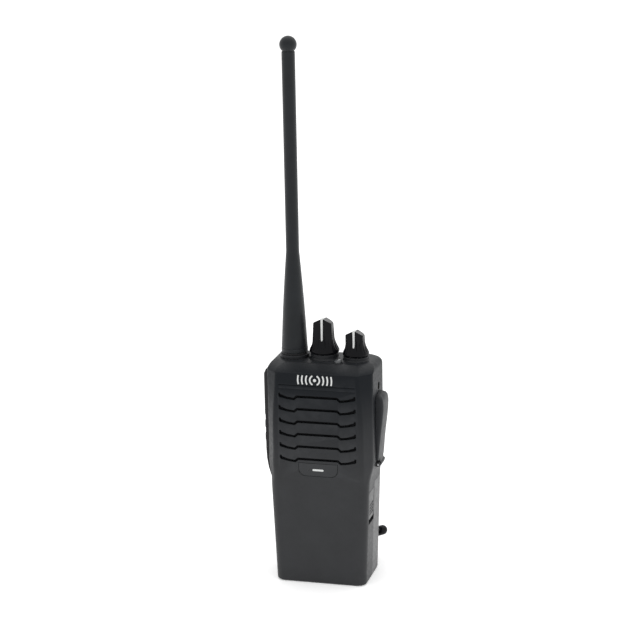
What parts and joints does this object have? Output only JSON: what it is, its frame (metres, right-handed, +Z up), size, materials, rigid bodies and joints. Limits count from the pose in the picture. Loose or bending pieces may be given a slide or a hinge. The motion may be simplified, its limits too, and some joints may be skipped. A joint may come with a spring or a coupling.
{
  "type": "portable two-way radio",
  "caption": "Handheld two-way radio with whip antenna, two top knobs, slotted speaker grille, side talk bar, jack cover and clip-on battery with swivel belt clip.",
  "frame": {"origin": "middle of the base, half way between the front and back faces, on the plane it stands on", "axes": "+Z up along the antenna, -Y out of the speaker grille (the front), +X towards the side with the jack cover"},
  "size_m": [0.0697, 0.0494, 0.3088],
  "materials": {
    "housing_plastic": "fine textured moulding",
    "badge_plastic": "smooth moulding",
    "battery_plastic": "fine textured moulding",
    "cloth": "woven dust cloth",
    "mark_paint": "printed paint",
    "lens": "clear moulded lens",
    "seal_rubber": "soft",
    "bezel_rubber": "matte",
    "key_rubber": "matte",
    "steel": "plated",
    "magnet": "zinc plated",
    "cone_paper": "doped paper",
    "board": "solder resist",
    "cast_alloy": "as cast",
    "control_plastic": "moulded",
    "brass": "plated",
    "knob_plastic": "satin moulding",
    "antenna_rubber": "matte rubber",
    "cover_rubber": "satin rubber",
    "latch_plastic": "moulded",
    "cell_wrap": "shrink wrap",
    "label": "blank plate",
    "clip_plastic": "glossy moulding"
  },
  "bodies": {
    "radio": {"front_housing": "housing_plastic", "grille_cloth": "cloth", "emblem": "mark_paint", "model_badge": "badge_plastic", "led_lens": "lens", "control_seals": "seal_rubber", "speaker_gasket": "seal_rubber", "speaker_basket": "steel", "speaker_cone": "cone_paper", "speaker_magnet": "magnet", "microphone": "steel", "microphone_boot": "seal_rubber", "main_board": "board", "shield_cans": "steel", "chassis": "cast_alloy", "chassis_screws": "steel", "channel_switch": "control_plastic", "volume_pot": "control_plastic", "control_nuts": "steel", "antenna_socket": "brass", "button_bezel": "bezel_rubber", "side_board": "board", "side_switches": "control_plastic", "jack_panel": "control_plastic", "jack_cover_pin": "steel", "speaker_jack": "steel", "mic_jack": "steel", "screw_insert": "brass", "contact_block": "control_plastic", "contact_springs": "brass", "latch_spring_left": "steel", "latch_spring_right": "steel"},
    "channel_selector": {"channel_knob": "knob_plastic", "channel_pointer": "mark_paint", "channel_shaft": "steel"},
    "volume_control": {"volume_knob": "knob_plastic", "volume_pointer": "mark_paint", "volume_shaft": "steel"},
    "antenna_seat": {"antenna_gasket": "seal_rubber"},
    "antenna": {"antenna_sheath": "antenna_rubber", "antenna_stud": "brass", "antenna_coil": "brass"},
    "talk_key": {"talk_button": "key_rubber"},
    "upper_side_key": {"upper_key": "key_rubber"},
    "lower_side_key": {"lower_key": "key_rubber"},
    "jack_flap": {"jack_cover": "cover_rubber"},
    "left_latch": {"latch_left": "latch_plastic"},
    "right_latch": {"latch_right": "latch_plastic"},
    "battery_pack": {"battery_case": "battery_plastic", "battery_cover": "battery_plastic", "battery_cells": "cell_wrap", "battery_board": "board", "battery_contacts": "brass", "charging_contacts": "brass", "rating_plate": "label", "clip_button": "clip_plastic"},
    "clip_swivel": {"clip_base": "clip_plastic", "clip_pin": "steel", "clip_spring": "steel"},
    "clip_arm": {"clip_lever": "clip_plastic"}
  },
  "joints": [
    {"name": "channel_turn", "type": "hinge", "parent": "radio", "child": "channel_selector", "pos_m": [-0.0008, 0.0035, 0.14], "axis": [0, 0, 1], "range_deg": [-180, 157.5]},
    {"name": "volume_turn", "type": "hinge", "parent": "radio", "child": "volume_control", "pos_m": [0.0174, 0.0035, 0.137], "axis": [0, 0, 1], "range_deg": [-150, 150]},
    {"name": "antenna_lift", "type": "slide", "parent": "radio", "child": "antenna_seat", "axis": [0, 0, 1], "range_m": [0, 0.007]},
    {"name": "antenna_turn", "type": "hinge", "parent": "antenna_seat", "child": "antenna", "pos_m": [-0.0182, 0.0035, 0.131], "axis": [0, 0, 1], "range_deg": [0, 2520.1]},
    {"name": "talk_press", "type": "slide", "parent": "radio", "child": "talk_key", "axis": [1, 0, 0], "range_m": [0, 0.0012], "stiffness_N_per_m": 1500, "springref_m": -0.0008},
    {"name": "upper_key_press", "type": "slide", "parent": "radio", "child": "upper_side_key", "axis": [1, 0, 0], "range_m": [0, 0.0008], "stiffness_N_per_m": 1500, "springref_m": -0.0008},
    {"name": "lower_key_press", "type": "slide", "parent": "radio", "child": "lower_side_key", "axis": [1, 0, 0], "range_m": [0, 0.0008], "stiffness_N_per_m": 1500, "springref_m": -0.0008},
    {"name": "jack_flap_open", "type": "hinge", "parent": "radio", "child": "jack_flap", "pos_m": [0.0314, 0.0015, 0.069], "axis": [0, 1, 0], "range_deg": [0, 120]},
    {"name": "left_latch_slide", "type": "slide", "parent": "radio", "child": "left_latch", "axis": [0, 0, -1], "range_m": [0, 0.0025], "stiffness_N_per_m": 600, "springref_m": -0.002, "deforming": ["latch_spring_left"]},
    {"name": "right_latch_slide", "type": "slide", "parent": "radio", "child": "right_latch", "axis": [0, 0, -1], "range_m": [0, 0.0025], "stiffness_N_per_m": 600, "springref_m": -0.002, "deforming": ["latch_spring_right"]},
    {"name": "battery_pull", "type": "slide", "parent": "radio", "child": "battery_pack", "axis": [0, 1, 0], "range_m": [0, 0.035]},
    {"name": "clip_swivel_turn", "type": "hinge", "parent": "battery_pack", "child": "clip_swivel", "pos_m": [0, 0.0215, 0.056], "axis": [0, 1, 0], "continuous": true},
    {"name": "clip_open", "type": "hinge", "parent": "clip_swivel", "child": "clip_arm", "pos_m": [-0.00445, 0.0258, 0.06822], "axis": [0.9397, 0, 0.342], "range_deg": [0, 15], "stiffness_Nm_per_rad": 0.1, "springref_deg": -17.19}
  ],
  "couplings": [
    {"joint": "antenna_turn", "follows": "antenna_lift", "rad_per_m": 6283.2}
  ]
}
